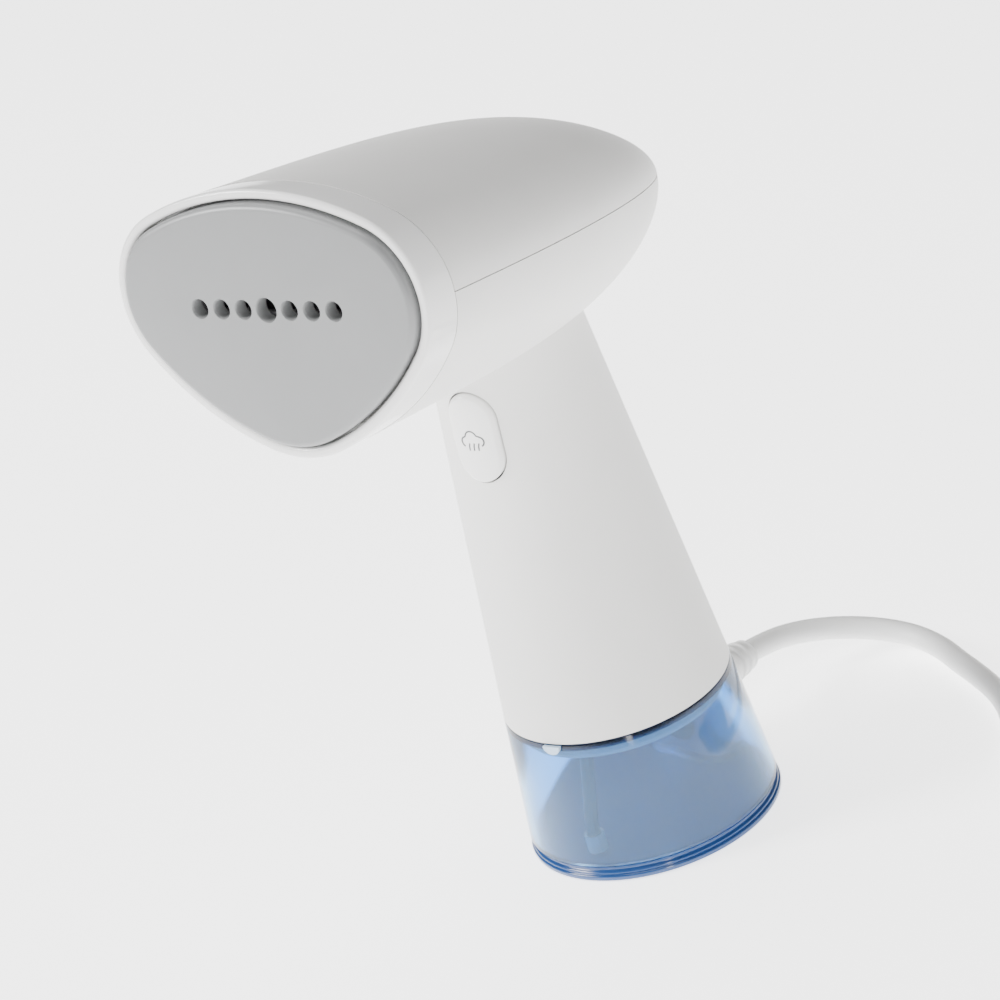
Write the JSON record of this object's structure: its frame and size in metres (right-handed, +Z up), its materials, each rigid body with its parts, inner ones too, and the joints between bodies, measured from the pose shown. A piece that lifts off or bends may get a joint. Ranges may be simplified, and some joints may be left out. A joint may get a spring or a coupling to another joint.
{
  "type": "handheld garment steamer",
  "caption": "Handheld garment steamer: round tapered handle on a removable water tank, rounded head with a steam plate, trigger and mains cord.",
  "frame": {"origin": "centre of the tank's foot, on the surface that the steamer stands on", "axes": "+Z up along the handle's axis, -Y the way the steam plate faces, +X across the head"},
  "size_m": [0.2501, 0.2161, 0.2446],
  "materials": {
    "shell_white": "fine matte moulded plastic, warm white",
    "bezel_white": "smooth glossy moulded plastic, white",
    "plate_grey": "satin coated grey metal",
    "tank_blue": "frosted translucent blue plastic",
    "base_blue": "glossy deep blue plastic",
    "cord_white": "smooth white flexible vinyl",
    "natural_plastic": "uncoloured moulded plastic",
    "black_plastic": "matt black plastic",
    "silicone": "translucent grey silicone rubber",
    "die_cast": "die-cast aluminium, as cast",
    "steel": "plain steel",
    "brass": "plain brass",
    "copper": "enamelled copper winding"
  },
  "bodies": {
    "tank": {"tank_body": "tank_blue", "tank_base": "base_blue", "power_cord_run": "cord_white", "power_cord_coil": "cord_white", "power_cord_tail": "cord_white", "plug_body": "cord_white", "plug_blade_1": "brass", "plug_blade_2": "brass"},
    "housing": {"handle_sleeve": "shell_white", "head_top_shell": "shell_white", "head_lower_shell": "shell_white", "front_bezel": "bezel_white", "steam_plate": "plate_grey", "cord_guard": "cord_white", "tank_plug": "natural_plastic", "dip_tube": "natural_plastic", "neck_collar": "natural_plastic", "handle_frame": "natural_plastic", "pump_body": "natural_plastic", "terminal_block": "natural_plastic", "cord_clamp": "natural_plastic", "switch_body": "black_plastic", "supply_lead_1": "black_plastic", "supply_lead_2": "black_plastic", "thermostat": "black_plastic", "tank_seal": "silicone", "vent_valve": "silicone", "inlet_filter": "silicone", "suction_hose": "silicone", "check_valve": "silicone", "plate_gasket": "silicone", "delivery_hose": "silicone", "chamber_cover": "die_cast", "steam_chamber": "die_cast", "plug_screw_1": "steel", "plug_screw_2": "steel", "pump_yoke": "steel", "pump_spring": "steel", "clamp_screw_1": "steel", "clamp_screw_2": "steel", "trigger_spring": "steel", "chamber_screw_1": "steel", "chamber_screw_2": "steel", "chamber_screw_3": "steel", "chamber_screw_4": "steel", "heating_element": "steel", "thermal_fuse": "steel", "chamber_nozzle": "brass", "pump_coil": "copper"},
    "trigger": {"trigger": "bezel_white"},
    "switch_plunger": {"switch_plunger": "black_plastic"},
    "pump_piston": {"pump_piston": "steel"}
  },
  "joints": [
    {"name": "tank_release", "type": "slide", "parent": "tank", "child": "housing", "axis": [0, 0, 1], "range_m": [0, 0.075]},
    {"name": "trigger_press", "type": "slide", "parent": "housing", "child": "trigger", "axis": [0, 1, 0], "range_m": [0, 0.0025], "stiffness_N_per_m": 800, "springref_m": -0.00125, "deforming": ["trigger_spring"]},
    {"name": "switch_press", "type": "slide", "parent": "housing", "child": "switch_plunger", "axis": [0, 1, 0], "range_m": [0, 0.0025]},
    {"name": "pump_stroke", "type": "slide", "parent": "housing", "child": "pump_piston", "axis": [0, 0, 1], "range_m": [-0.002, 0], "stiffness_N_per_m": 300, "springref_m": 0.002, "deforming": ["pump_spring"]}
  ],
  "couplings": [
    {"joint": "switch_press", "follows": "trigger_press", "ratio": 1}
  ]
}
